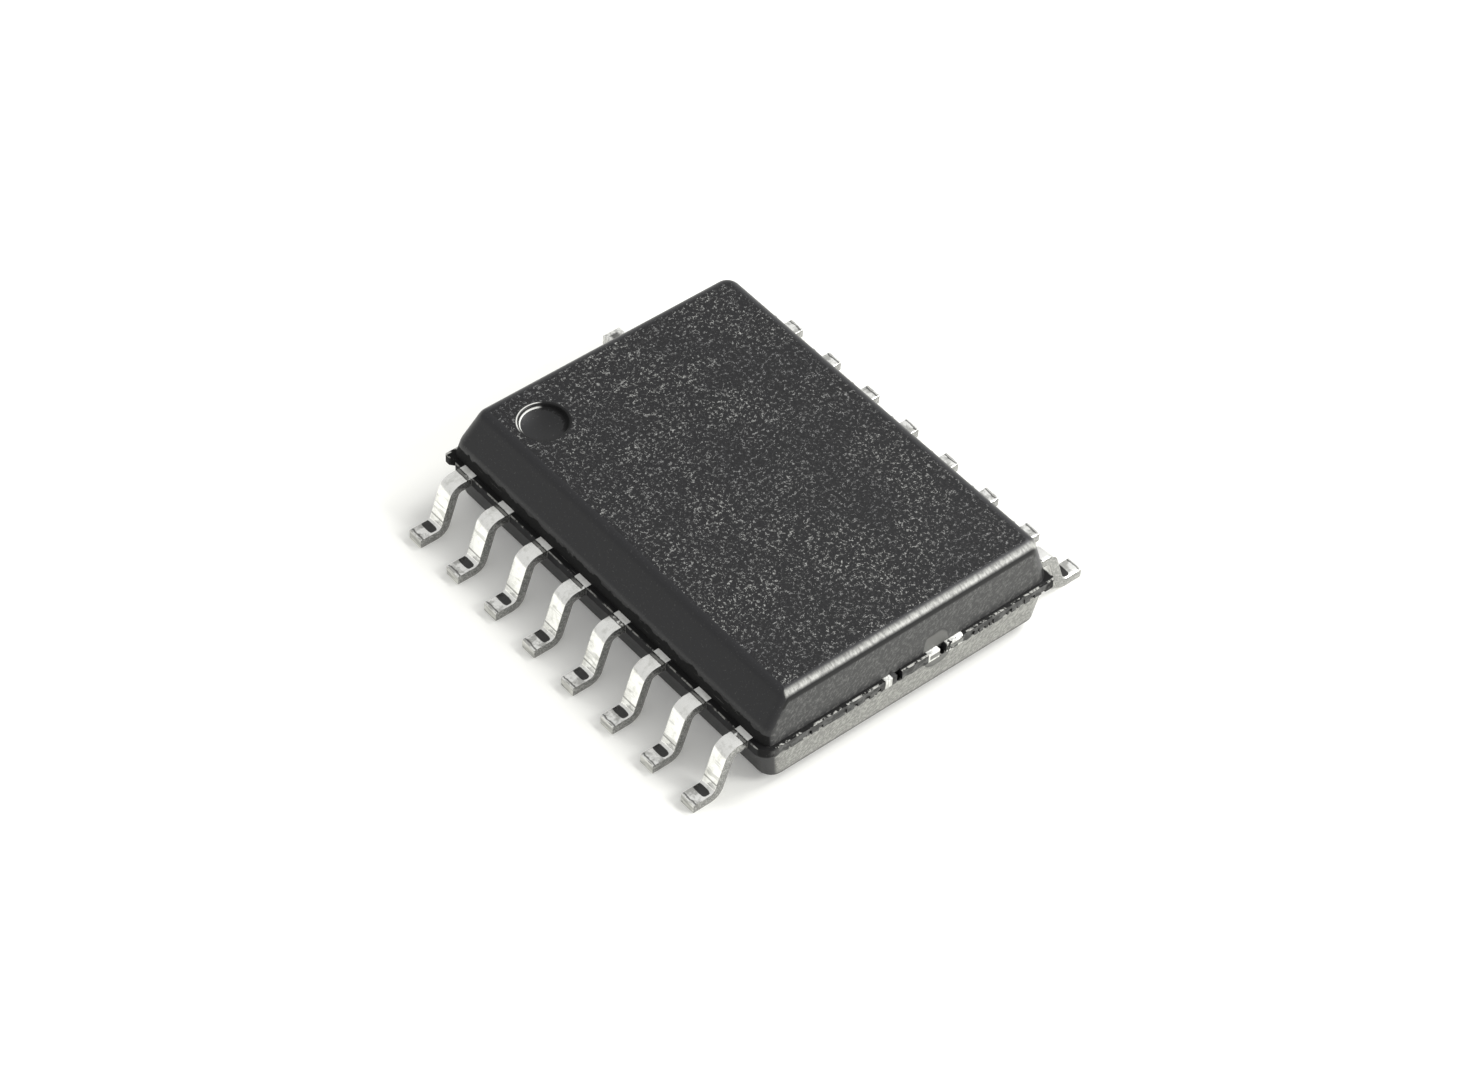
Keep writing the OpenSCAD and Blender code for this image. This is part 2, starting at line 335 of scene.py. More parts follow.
# %% The two halves
corner_radii = {(-1, -1): 0.2 * MM, (-1, 1): 0.28 * MM, (1, -1): 0.34 * MM, (1, 1): 0.34 * MM}
lower_corner_r, sharpest_corner_r = 0.33 * MM, 0.02 * MM
buried = 0.02 * MM


def upper_level(z):
    lift = max(z - (top_z - rim_r), 0)
    rolled_in = rim_r - math.sqrt(max(rim_r ** 2 - lift ** 2, 0))
    radii = {corner: max(radius - rolled_in, sharpest_corner_r)
             for corner, radius in corner_radii.items()}
    side = wall_at(z, other_side_draft, top_x, top_z, rim_r)
    near_end = wall_at(z, near_end_draft, top_y, top_z, rim_r)
    far_end = wall_at(z, far_end_draft, top_y, top_z, rim_r)
    return z, bevel_side_at(z), side, near_end, far_end, radii


def lower_level(z):
    in_x = wall_x - (strip_low - bottom_z) * math.tan(lower_draft)
    in_y = lower_y - (strip_low - bottom_z) * math.tan(lower_end_draft)
    lift = max(bottom_z + bottom_r - z, 0)
    rolled_in = bottom_r - math.sqrt(max(bottom_r ** 2 - lift ** 2, 0))
    radii = {corner: lower_corner_r - rolled_in for corner in corners}
    side = wall_at(z, lower_draft, in_x, bottom_z, bottom_r)
    end = wall_at(z, lower_end_draft, in_y, bottom_z, bottom_r)
    return z, side, side, end, end, radii


def upper_half():
    toe_steps = [toe_angle + (bevel_angle - toe_angle) * step / 5 for step in range(6)]
    middle = (bevel_angle + toe_angle) / 2
    toe_centre_z = toe_z - toe_r / math.cos((bevel_angle - toe_angle) / 2) * math.sin(middle)
    heights = [strip_top - buried, strip_top]
    heights += [toe_centre_z + toe_r * math.sin(angle) for angle in toe_steps]
    heights += [top_z - rim_r * (1 - math.sin(math.radians(angle)))
                for angle in (6, 15, 24, 33, 42, 51, 60, 69, 77, 84, 90)]
    return raise_block("upper_half", [upper_level(z) for z in heights])


def lower_half():
    heights = [strip_low + buried, strip_low]
    heights += [bottom_z + bottom_r * (1 - math.sin(math.radians(angle)))
                for angle in (8, 25, 42, 58, 74, 90)]
    return raise_block("lower_half", [lower_level(z) for z in heights])


# %% [markdown]
# The flash is a thin plate with rounded corners. Its long edges are subdivided, it is extruded to
# the strip's thickness, and its rim is jittered, because moulding flash breaks off where it likes.
# A notch is pressed into the pin 1 side near the far end. The jitter is then flattened back on to
# the plate's faces and on to the lines that it mustn't cross. Last, the plate is split into
# triangles, because a bent face with four corners doesn't cut cleanly.

# %% The parting flash
flash_radii = {(-1, -1): 0.34 * MM, (-1, 1): 0.02 * MM, (1, -1): 0.08 * MM, (1, 1): 0.08 * MM}


def jitter(test, offset, seed):
    pick("VERT", lambda v: test(v.co))
    bpy.ops.transform.vertex_random(offset=offset, seed=seed)


def flatten(test, squash, centre):
    """Press the vertices that pass the test flat on to a plane through the centre."""
    if pick("VERT", lambda v: test(v.co)):
        bpy.ops.transform.resize(value=squash, center_override=centre)


def parting_flash():
    outline = (strip_top, flash_x, flash_x, flange_y, flange_y, flash_radii)
    piece = first_level("parting_flash", outline)
    pick("EDGE", lambda e: e.calc_length() > 2 * MM)
    bpy.ops.mesh.subdivide(number_cuts=90)
    bpy.ops.mesh.select_all(action="SELECT")
    extrude_by((0, 0, -strip_t))
    past_corner = 0.4 * MM
    on_side = lambda p: abs(p.y) < flange_y - past_corner
    near_end = lambda p: near(p.y, -flange_y, 0.03 * MM) and abs(p.x) < flash_x - past_corner
    middle_z = (strip_top + strip_low) / 2
    jitter(lambda p: on_side(p) or abs(p.x) < flash_x - past_corner, 0.014 * MM, 7)
    jitter(lambda p: near_end(p) and p.z < middle_z, 0.035 * MM, 11)
    jitter(lambda p: near_end(p) and p.z > middle_z, 0.016 * MM, 5)
    notch_start, notch_end, notch_depth = 0.13 * MM, 0.3 * MM, 0.09 * MM
    pick("VERT", lambda v: v.co.x < 0.05 * MM - flash_x
         and notch_start < flange_y - v.co.y < notch_end)
    bpy.ops.transform.translate(value=(notch_depth, 0, 0))
    for z, above in [(strip_top, True), (strip_low, False)]:
        flatten(lambda p: (p.z > middle_z) == above, (1, 1, 0), (0, 0, z))
    for side in (-1, 1):
        flatten(lambda p: p.x * side > flash_x, (0, 1, 1), (side * flash_x, 0, 0))
        flatten(lambda p: p.y * side > flange_y, (1, 0, 1), (0, side * flange_y, 0))
    bpy.ops.mesh.select_all(action="SELECT")
    bpy.ops.mesh.quads_convert_to_tris()
    close_piece()
    face_outwards(piece)
    return piece


# %% [markdown]
# The round mark that shows pin 1 is where an ejector pin met the block. Its cutter is a disc that
# is extruded upwards and flared, so that the mark gets a rounded rim instead of a knife edge.

# %% The pin 1 mark's cutter
def mark_cutter():
    clear_selection()
    radius, z = mark_r - 0.06 * MM, top_z - mark_depth
    bpy.ops.mesh.primitive_circle_add(vertices=96, radius=radius, fill_type="NGON",
                                      location=(mark_place.x, mark_place.y, z))
    piece = bpy.context.active_object
    piece.name = "mark_cutter"
    bpy.ops.object.transform_apply(location=True, rotation=True, scale=True)
    open_piece(piece)
    bpy.ops.mesh.select_all(action="SELECT")
    rings = [(0.02, 0.03), (0.04, 0.015), (0.02, 0.012), (0.01, 0.02), (0.0005, 0.03), (0.1, 0.0)]
    for rise, spread in rings:
        extrude_by((0, 0, rise * MM))
        z += rise * MM
        grown = (radius + spread * MM) / radius
        bpy.ops.transform.resize(value=(grown, grown, 1),
                                 center_override=(mark_place.x, mark_place.y, z))
        radius += spread * MM
    bpy.ops.mesh.select_all(action="SELECT")
    bpy.ops.mesh.normals_make_consistent(inside=False)
    close_piece()
    return piece


# %% An ejector mark's cutter
def ejector_cutter(y):
    radius, depth = 0.5 * MM, 0.03 * MM
    clear_selection()
    bpy.ops.mesh.primitive_cylinder_add(vertices=96, radius=radius, depth=2 * depth,
                                        location=(0, y, bottom_z))
    piece = bpy.context.active_object
    bpy.ops.object.transform_apply(location=True, rotation=True, scale=True)
    open_piece(piece)
    pick("EDGE", lambda e: all(near(v.co.z, bottom_z + depth) for v in e.verts))
    bpy.ops.mesh.bevel(offset=0.01 * MM, segments=3, affect="EDGES")
    close_piece()
    return piece


# %% Where the leads stand
def pin_side(pin):
    return -1 if pin <= leads_a_side else 1


def pin_y(pin):
    place = pin if pin <= leads_a_side else 2 * leads_a_side + 1 - pin
    return ((leads_a_side + 1) / 2 - place) * pitch


pins = range(1, 2 * leads_a_side + 1)

# %% [markdown]
# Now the moulding is put together. A slot for each lead and the pockets of the tie bars are cut
# out of the flash while it is still a plain plate, the marks are cut out of their halves, and the
# two halves are joined to the plate last. Cuts are cleanest while a piece is still simple.

# %% Tie bars and broken flash
# A tie bar is given by its middle and its width, and a gap by its sides and what is left below it.
tie_bars = [(-0.56 * MM, 0.3 * MM), (0.57 * MM, 0.3 * MM), (1.13 * MM, 0.44 * MM)]
torn_gaps = [(-0.41 * MM, -0.27 * MM, 0.03 * MM), (0.72 * MM, 0.89 * MM, 0.02 * MM)]
gap_depth = 0.16 * MM
chips = random.Random(4)
play, into_wall = 0.004 * MM, 0.3 * MM


def lead_slot(pin):
    xs = sorted([pin_side(pin) * (wall_x - into_wall), pin_side(pin) * (flash_x + MM)])
    y, half = pin_y(pin), lead_w / 2 + play
    return block("slot", (xs[0], y - half, strip_low - play), (xs[1], y + half, strip_top + play))


def bar_pocket(x, width, sign):
    ys = sorted([sign * (wall_y - into_wall), sign * (flange_y + MM)])
    half = width / 2 + play
    return block("pocket", (x - half, ys[0], strip_low - play), (x + half, ys[1], strip_top + play))


def broken_gap(from_x, to_x, deep, low_z, high_z):
    return block("gap", (from_x, -flange_y - MM, low_z), (to_x, -flange_y + deep, high_z))


def chipped_edge():
    """Small bites out of the flange's lower edge at the near end, in random places."""
    bites = []
    x = -3.2 * MM
    while x < 3.5 * MM:
        width = chips.uniform(0.04, 0.13) * MM
        if chips.random() < 0.62 and not -0.8 * MM < x < 1.4 * MM:
            deep, tall = chips.uniform(0.03, 0.07) * MM, chips.uniform(0.05, 0.15) * MM
            bites.append(broken_gap(x, x + width, deep, strip_low - 0.02 * MM, strip_low + tall))
        x += width + chips.uniform(0.03, 0.22) * MM
    return bites


def gather(name, blocks):
    clear_selection()
    for each in blocks:
        each.select_set(True)
    bpy.context.view_layer.objects.active = blocks[0]
    bpy.ops.object.join()
    blocks[0].name = name
    return blocks[0]


# %% Put the moulding together
def cut_flash():
    plate = parting_flash()
    slots = [lead_slot(pin) for pin in pins]
    slots += [bar_pocket(x, width, sign) for x, width in tie_bars for sign in (-1, 1)]
    combine(plate, gather("slots", slots), "DIFFERENCE")
    gaps = [broken_gap(from_x, to_x, gap_depth, strip_low + lip, strip_top + 0.03 * MM)
            for from_x, to_x, lip in torn_gaps]
    combine(plate, gather("gaps", gaps), "DIFFERENCE")
    combine(plate, gather("bites", chipped_edge()), "DIFFERENCE")
    return plate


def build_moulding():
    piece = upper_half()
    combine(piece, mark_cutter(), "DIFFERENCE")
    under = lower_half()
    for sign in (-1, 1):
        combine(under, ejector_cutter(sign * 0.6 * flange_y), "DIFFERENCE")
    combine(piece, cut_flash(), "UNION")
    combine(piece, under, "UNION")
    piece.name = "moulding"
    face_outwards(piece)
    smooth(piece)
    return piece


moulding = build_moulding()
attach(moulding, "root")
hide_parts("mould_body")
show(moulding)

# %% [markdown]
# ## The leads
#
# Every lead is one strip, stamped flat and then folded like a gull's wing. It is made here as the
# tool makes it: a small rectangle, the strip's section, is extruded along, spun through the
# shoulder bend, extruded down the leg, spun back through the heel and extruded to the tip. The
# folded part is made once. Each copy then gets the inner finger that its own place needs.

# %% Fold the strip
leg_lean = math.radians(18)
bend_r = 0.12 * MM
foot_len = 0.42 * MM
root_x = flash_x - 0.1 * MM


def folded_strip():
    clear_selection()
    bpy.ops.mesh.primitive_plane_add(size=1)
    piece = bpy.context.active_object
    piece.name = "folded_strip"
    piece.scale = (strip_t, lead_w, 1)
    piece.rotation_euler = (0, math.radians(90), 0)
    piece.location = (root_x, 0, (strip_low + strip_top) / 2)
    bpy.ops.object.transform_apply(location=True, rotation=True, scale=True)
    outer_r = bend_r + strip_t
    heel = Vector((tip_x - foot_len, 0, outer_r))
    shoulder_z = strip_low - bend_r
    drop = shoulder_z - heel.z
    across = (bend_r + outer_r + drop * math.sin(leg_lean)) / math.cos(leg_lean)
    shoulder = Vector((heel.x - across, 0, shoulder_z))
    down = Vector((math.sin(leg_lean), 0, -math.cos(leg_lean)))
    out = Vector((math.cos(leg_lean), 0, math.sin(leg_lean)))
    leg = (heel - out * (bend_r + strip_t / 2)) - (shoulder + out * (bend_r + strip_t / 2))
    turn = math.radians(90) - leg_lean
    open_piece(piece)
    bpy.ops.mesh.select_all(action="SELECT")
    extrude_by((shoulder.x - root_x, 0, 0))
    bpy.ops.mesh.spin(steps=8, angle=-turn, center=shoulder, axis=(0, 1, 0))
    extrude_by(down * leg.length)
    bpy.ops.mesh.spin(steps=8, angle=turn, center=heel, axis=(0, 1, 0))
    extrude_by((foot_len, 0, 0))
    close_piece()
    return piece


strip = folded_strip()
show(strip)

# %% [markdown]
# Each copy is moved to its pin, or mirrored to the pin 1 side, and its root face is extruded
# inwards. The finger widens just inside the wall, which locks it in the mould compound, and then
# fans in towards the die. A narrow bevel takes the sharpness off the stamped edges.

# %% Copy the strip to each pin
finger_steps = [
    # reach from the centre, width, how far it fans in
    (3.55 * MM, 0.4 * MM, 1),
    (3.4 * MM, 0.56 * MM, 1),
    (3.1 * MM, 0.56 * MM, 1),
    (1.73 * MM, 0.34 * MM, 0.72),
]


def formed_lead(pin):
    side, y = pin_side(pin), pin_y(pin)
    select_only(strip)
    bpy.ops.object.duplicate()
    piece = bpy.context.active_object
    piece.name = f"formed_lead_{pin}"
    piece.location = (0, y, 0)
    piece.scale = (side, 1, 1)
    bpy.ops.object.transform_apply(location=True, rotation=True, scale=True)
    open_piece(piece)
    pick("FACE", lambda f: near(f.calc_center_median().x, side * root_x))
    reach, width, fan = root_x, lead_w, 1
    for next_reach, next_width, next_fan in finger_steps:
        extrude_by((side * (next_reach - reach), y * (next_fan - fan), 0))
        centre = (side * next_reach, y * next_fan, (strip_low + strip_top) / 2)
        bpy.ops.transform.resize(value=(1, next_width / width, 1), center_override=centre)
        reach, width, fan = next_reach, next_width, next_fan
    close_piece()
    face_outwards(piece)
    soften_edges(piece, 0.018 * MM)
    smooth(piece)
    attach(piece, "root")
    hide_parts(f"lead_{pin}")
    return piece


leads = [formed_lead(pin) for pin in pins]
bpy.data.objects.remove(strip)
show(leads[0])

# %% [markdown]
# ## The paddle and its tie bars
#
# The paddle that carries the die hangs in its frame by tie bars until the chip is cut out. Their
# cut ends show in the flange: flush at the near end, and standing out as one short stub at the far
# end. The paddle starts as a block that is sliced across where the bars leave it. Each bar is then
# extruded out of its own slice, and the third bar bends out of the second one's side.

# %% Cut the paddle from strip
paddle_w, paddle_len = 2.9 * MM, 5.4 * MM
bridge_y, bridge_w = 4.3 * MM, 0.3 * MM


def strip_block(name, x_range, y_range):
    return block(name, (x_range[0], y_range[0], strip_low), (x_range[1], y_range[1], strip_top))


def slice_across(x):
    bpy.ops.mesh.select_all(action="SELECT")
    bpy.ops.mesh.bisect(plane_co=(x, 0, 0), plane_no=(1, 0, 0))


def pick_side(x, y, way):
    """Pick the one flat face whose middle is at x, y and that faces along the way."""
    def is_it(face):
        middle = face.calc_center_median()
        return near(middle.x, x) and near(middle.y, y) and face.normal.dot(Vector(way)) > 0.9
    return pick("FACE", is_it)


def build_paddle():
    piece = strip_block("paddle_with_tie_bars", (-paddle_w / 2, paddle_w / 2),
                        (-paddle_len / 2, paddle_len / 2))
    straight_bars, (bent_x, bent_w) = tie_bars[:2], tie_bars[2]
    bar_side = straight_bars[1][0] + straight_bars[1][1] / 2
    open_piece(piece)
    for x, width in straight_bars:
        slice_across(x - width / 2)
        slice_across(x + width / 2)
    for sign in (-1, 1):
        for x, width in straight_bars:
            pick_side(x, sign * paddle_len / 2, (0, sign, 0))
            extrude_by((0, sign * (bridge_y - bridge_w / 2 - paddle_len / 2), 0))
            extrude_by((0, sign * bridge_w, 0))
            extrude_by((0, sign * (flange_y - bridge_y - bridge_w / 2), 0))
        pick_side(bar_side, sign * bridge_y, (1, 0, 0))
        extrude_by((bent_x - bent_w / 2 - bar_side, 0, 0))
        extrude_by((bent_w, 0, 0))
        pick_side(bent_x, sign * (bridge_y + bridge_w / 2), (0, sign, 0))
        end = paddle_high.y if sign > 0 else flange_y
        extrude_by((0, sign * (end - bridge_y - bridge_w / 2), 0))
    close_piece()
    face_outwards(piece)
    soften_edges(piece, 0.012 * MM)
    smooth(piece)
    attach(piece, "root")
    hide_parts("die_paddle")
    return piece


paddle = build_paddle()
show(paddle)

# %% [markdown]
# ## Finishes
#
# All materials are made of nodes that read Object coordinates. Those are metres from the chip's
# centre, so the first step in each material turns them into millimetres. A few helpers keep the
# node work short: each adds one node to the material that was started last, plugs in what it is
# given and hands back its output.

# %% Helpers for nodes
def tone(red, green, blue):
    """A colour as a paint chart gives it, 0 to 255, turned into the linear light that nodes use."""
    def linear(level):
        level /= 255
        return level / 12.92 if level <= 0.04045 else ((level + 0.055) / 1.055) ** 2.4
    return (linear(red), linear(green), linear(blue), 1)


def grey(level):
    return tone(level, level, level)


def start_material(name):
    """Start mixing a material: the node helpers all work on the one that was started last."""
    global mixing
    mixing = bpy.data.materials.new(name)
    mixing.use_nodes = True
    return mixing, mixing.node_tree.nodes["Principled BSDF"]


def plug(source, socket):
    """Join an output to a socket, or set a plain value on the socket."""
    if isinstance(source, bpy.types.NodeSocket):
        mixing.node_tree.links.new(source, socket)
    else:
        socket.default_value = source


def add_node(kind, inputs, **settings):
    """Add one shader node; inputs are given by the socket's name or number."""
    new = mixing.node_tree.nodes.new("ShaderNode" + kind)
    for name, value in settings.items():
        setattr(new, name, value)
    for name, source in inputs.items():
        plug(source, new.inputs[name])
    return new


def paint(piece, material):
    piece.data.materials.clear()
    piece.data.materials.append(material)


# %% Helpers for places and noise
def axes(vector):
    return add_node("SeparateXYZ", {0: vector}).outputs


def facing():
    """The way that the surface faces, as three outputs."""
    return axes(add_node("NewGeometry", {}).outputs["Normal"])


def mapped(place, **settings):
    """Turn or stretch a place with a Mapping node."""
    return add_node("Mapping", {"Vector": place, **settings}).outputs["Vector"]


def place_in_mm():
    place = add_node("TexCoord", {}).outputs["Object"]
    return mapped(place, Scale=(1 / MM, 1 / MM, 1 / MM))


def noise(scale, detail=2, rough=0.5, stretch=(1, 1, 1), turn=(0, 0, 0)):
    """Cloudy noise with this many lumps to the millimetre, turned by degrees and then squeezed."""
    angles = tuple(math.radians(angle) for angle in turn)
    place = mapped(place_in_mm(), Rotation=angles)
    inputs = {"Vector": mapped(place, Scale=stretch),
              "Scale": scale, "Detail": detail, "Roughness": rough}
    return add_node("TexNoise", inputs).outputs["Fac"]


# %% Helpers for sums
def maths(operation, first, second=0.0):
    new = add_node("Math", {0: first, 1: second}, operation=operation)
    return new.outputs["Value"]


def times(*values):
    result = values[0]
    for value in values[1:]:
        result = maths("MULTIPLY", result, value)
    return result


def size_of(value, middle=0.0):
    """How far a value lies from a middle, on either side of it."""
    if middle:
        value = maths("SUBTRACT", value, middle)
    return maths("ABSOLUTE", value)


def in_halves(value, middle, half):
    """How far a value lies from a middle, counted in half widths: -1 and 1 are the edges."""
    return maths("DIVIDE", maths("SUBTRACT", value, middle), half)


def wander(value, cloud, reach):
    """Move a value up and down with a noise, so that an edge drawn with it turns ragged."""
    drift = times(maths("SUBTRACT", cloud, 0.5), reach)
    return maths("ADD", value, drift)


def ramp(value, low, high):
    """A number that goes from low to high in step with a value that goes from 0 to 1."""
    inputs = {"Value": value, "To Min": low, "To Max": high}
    return add_node("MapRange", inputs).outputs["Result"]


# %% Helpers for masks and colours
def fade(value, start, end, base=0.0):
    """0 at the start, 1 at the end and smooth between them; both are counted from the base."""
    inputs = {"Value": value, "From Min": base + start, "From Max": base + end}
    return add_node("MapRange", inputs, interpolation_type="SMOOTHSTEP").outputs["Result"]


def band(value, rise, fall, base=0.0):
    """A stripe: it fades in over the rise and out again over the fall."""
    return times(fade(value, *rise, base), fade(value, *fall, base))


def blend(share, first, second):
    """The first colour where the share is 0, the second where it is 1."""
    new = add_node("Mix", {0: share, 6: first, 7: second}, data_type="RGBA")
    return new.outputs[2]


def mottled(value, start, end, first, second, base=0.0):
    """The first colour, which goes over to the second as the value goes from start to end."""
    return blend(fade(value, start, end, base), first, second)


def finish_with(shader, colour, rough):
    plug(colour, shader.inputs["Base Color"])
    plug(rough, shader.inputs["Roughness"])


def bump_with(shader, height, strength, depth):
    bump = add_node("Bump", {"Height": height, "Strength": strength, "Distance": depth})
    plug(bump.outputs["Normal"], shader.inputs["Normal"])


# %% Heights and edges in millimetres
top_mm, strip_top_mm, strip_low_mm = top_z / MM, strip_top / MM, strip_low / MM
wall_mm, flash_mm, tip_mm = wall_x / MM, flash_x / MM, tip_x / MM
end_wall_mm, flange_mm, stub_mm = wall_y / MM, flange_y / MM, paddle_high.y / MM
print(f"top at {top_mm:.2f}, strip from {strip_low_mm:.2f} to {strip_top_mm:.2f}")

# %% [markdown]
# ## Mould compound
#
# Black epoxy full of ground glass takes the finish of the steel that it was pressed against. The
# top of the cavity is spark-eroded, so the top face has a fine bright-and-dark grain. The bevel is
# ground smooth, and the drafted walls are drawn out with faint streaks when the block is ejected.
# One material covers them all: the way each face looks decides which finish it gets. Each look
# below is one layer, laid over the colour that it is given.

# %% The grained top
def top_grain(z, way_z):
    """Spark-eroded grain, its colour, and the flat face that it lies on."""
    grain = noise(15, 3, 0.8)
    patches = noise(0.7, 2, 0.5)
    crests = size_of(noise(10, 2, 0.65), 0.5)
    worms = times(fade(crests, 0.035, 0.008), fade(noise(12, 2, 0.6), 0.48, 0.6))
    bright = maths("MAXIMUM", worms, fade(grain, 0.61, 0.74))
    ground = blend(patches, tone(9, 9, 11), tone(16, 16, 18))
    shine = mottled(patches, 0.3, 0.7, grey(118), tone(168, 168, 164))
    colour = blend(bright, ground, shine)
    colour = mottled(grain, 0.45, 0.36, colour, tone(4, 4, 5))
    flat = times(fade(way_z, 0.985, 0.999), fade(z, -0.05, -0.005, top_mm))
    return grain, colour, flat


# %% The long walls and the flash
def side_look(colour, x, z, broken):
    """A black band of painted shade below the bevel's toe, the plain flash and a painted highlight
    on its broken edge.
    """
    out = size_of(x)
    scratches = noise(5, 2, 0.6, stretch=(9, 0.25, 9))
    below_toe = wander(z, noise(4, 2, 0.6), 0.25)
    # Painted shade: the wall below the bevel's toe and the flash top go near black, for the shaded
    # table that they reflect; the pale streaks in it are scratches.
    painted_shade_band = times(fade(below_toe, -0.09, -0.115, toe_z / MM),
                       fade(out, -0.15, -0.1, wall_mm),
                       fade(z, 0, 0.04, strip_low_mm))
    shade_and_scratch_tone = mottled(scratches, 0.68, 0.72, grey(3), tone(96, 96, 94))
    colour = blend(painted_shade_band, colour, shade_and_scratch_tone)
    flash_face = times(fade(out, -0.03, -0.01, flash_mm), fade(z, 0.01, 0.04, strip_low_mm))
    colour = blend(flash_face, colour, tone(40, 40, 41))
    # Painted highlight along the flash's outer top edge, broken up by noise.
    flash_edge_highlight = times(fade(out, -0.025, -0.015, flash_mm),
                       fade(z, -0.035, -0.025, strip_top_mm),
                       fade(broken, 0.46, 0.56))
    return painted_shade_band, blend(flash_edge_highlight, colour, tone(150, 150, 146))


# %% The end walls
def blister_look(colour, x, y, z):
    """A pale patch with a dark rim, over the middle tie bar of the near end only."""
    wide, high = in_halves(x, 0.7, 0.34), in_halves(z, 1.2, 0.42)
    edge = maths("ADD", times(wide, wide, wide, wide), times(high, high))
    edge = wander(edge, noise(3, 2, 0.6), 0.9)
    edge = maths("ADD", edge, times(fade(y, 0, 1), 2))
    dark_rim = times(fade(edge, 1.2, 1.1), 0.8)
    pale_middle = times(fade(edge, 1.08, 0.7), 0.9)
    colour = blend(dark_rim, colour, grey(44))
    return blend(pale_middle, colour, tone(98, 98, 95))


def end_wall_look(x, y, z):
    """Drawn streaks on greys lightened as a painted reflection of the bright table, most on the
    lower half, darkened by painted shade at its bottom rounding, with torn flash between the
    halves.
    """
    streaks = noise(16, 3, 0.75, stretch=(0.7, 1, 1.2), turn=(0, 40, 0))
    # Painted reflection: these greys are lightened for the bright table that the end walls reflect,
    # most on the lower half, which faces down; the streaks are drawn marks.
    upper = mottled(streaks, 0.45, 0.7, grey(54), tone(96, 96, 94))
    lower = mottled(streaks, 0.4, 0.68, tone(118, 118, 114), tone(166, 166, 160))
    # Painted shade: the bottom rounding, which faces down, is darker.
    lower = mottled(z, 0.34, 0.27, lower, tone(84, 84, 82))
    colour = mottled(z, 0.01, -0.02, upper, lower, strip_low_mm)
    colour = blister_look(colour, x, y, z)
    torn = noise(5, 3, 0.6, stretch=(1, 1, 1.5))
    torn_tone = mottled(torn, 0.42, 0.58, grey(14), tone(70, 70, 69))
    flange = times(fade(z, -0.02, 0.02, strip_low_mm), fade(z, 0.015, -0.01, strip_top_mm))
    return blend(flange, colour, torn_tone)


# %% The ledges and the rim of the ends
def ledge_look(colour, y, z, way_z, broken):
    """Painted shade as a black line along the foot of each end wall, and a painted highlight on the
    ledge's outer lip.
    """
    out = size_of(y)
    # Painted shade: the ledge top at the foot of each end wall goes black.
    on_ledge = times(fade(way_z, 0.9, 0.97),
                     fade(out, -0.01, 0, end_wall_mm),
                     fade(z, 0.05, 0.02, strip_top_mm))
    # Painted highlight on the lit outer lip of the ledge, broken up by noise.
    lip_highlight = times(fade(out, -0.06, -0.045, flange_mm), fade(broken, 0.46, 0.56))
    ledge_shade_and_highlight = blend(lip_highlight, grey(5), tone(190, 190, 184))
    return blend(on_ledge, colour, ledge_shade_and_highlight)


def rim_look(colour, z, way_x, way_y):
    """Painted shade as a dark line under the rim of each end, and a streaked painted highlight
    along the near end's rim.
    """
    # Painted shade on the lower part of each end's rim.
    rim_shade = times(band(size_of(way_y), (0.78, 0.86), (0.985, 0.95)),
                      fade(z, -0.35, -0.3, top_mm))
    colour = blend(rim_shade, colour, grey(8))
    # Painted highlight on the near end's rim only, the end that faces the near end lamp.
    near_way = times(way_y, -1)
    rim = times(band(near_way, (0.22, 0.6), (0.85, 0.66)),
                fade(z, -0.25, -0.15, top_mm), fade(way_x, -0.4, -0.12))
    cross_streaks = noise(15, 3, 0.7, stretch=(1, 0.4, 0.4))
    shine = mottled(cross_streaks, 0.3, 0.7, tone(124, 124, 120), tone(186, 186, 180))
    return blend(rim, colour, shine)


# %% The pin 1 mark
def mark_look(colour, x, y, z, grain, specks):
    """A smooth floor and a dark rounded rim, with a painted highlight as a bright crescent away
    from the near end and painted shade over the right side.
    """
    off_x = maths("SUBTRACT", x, mark_place.x / MM)
    off_y = maths("SUBTRACT", y, mark_place.y / MM)
    squares = maths("ADD", times(off_x, off_x), times(off_y, off_y))
    distance = maths("SQRT", squares)
    far_way = maths("SUBTRACT", off_y, times(off_x, 0.35))
    far_side = maths("DIVIDE", far_way, distance)
    right_side = maths("DIVIDE", off_x, distance)
    on_top = fade(z, -0.15, -0.13, top_mm)
    rim_mm = mark_r / MM

    in_mark = times(fade(distance, -0.03, -0.06, rim_mm), on_top)
    floor_tone = mottled(specks, 0.66, 0.72, tone(20, 20, 21), grey(70))
    colour = blend(in_mark, colour, floor_tone)
    outer_ring = band(distance, (0.01, 0.018), (0.045, 0.035), rim_mm)
    inner_ring = band(distance, (-0.055, -0.048), (-0.02, -0.03), rim_mm)
    in_ring = times(band(distance, (-0.065, -0.055), (0.055, 0.045), rim_mm), on_top)
    colour = blend(in_ring, colour, grey(14))
    rings = maths("MAXIMUM", outer_ring, inner_ring)
    # Painted highlight: a bright crescent on the far side of the mark's rim.
    crescent = times(rings, fade(far_side, 0.35, 0.8), in_ring)
    colour = blend(crescent, colour, tone(215, 215, 210))
    # Painted shade over the mark's right side.
    ragged = wander(distance, grain, 0.3)
    shade_side = times(fade(ragged, 0.38, 0.42),
                       fade(distance, 0.07, 0.04, rim_mm),
                       fade(right_side, 0.35, 0.6), on_top)
    return shade_side, blend(shade_side, colour, grey(2))


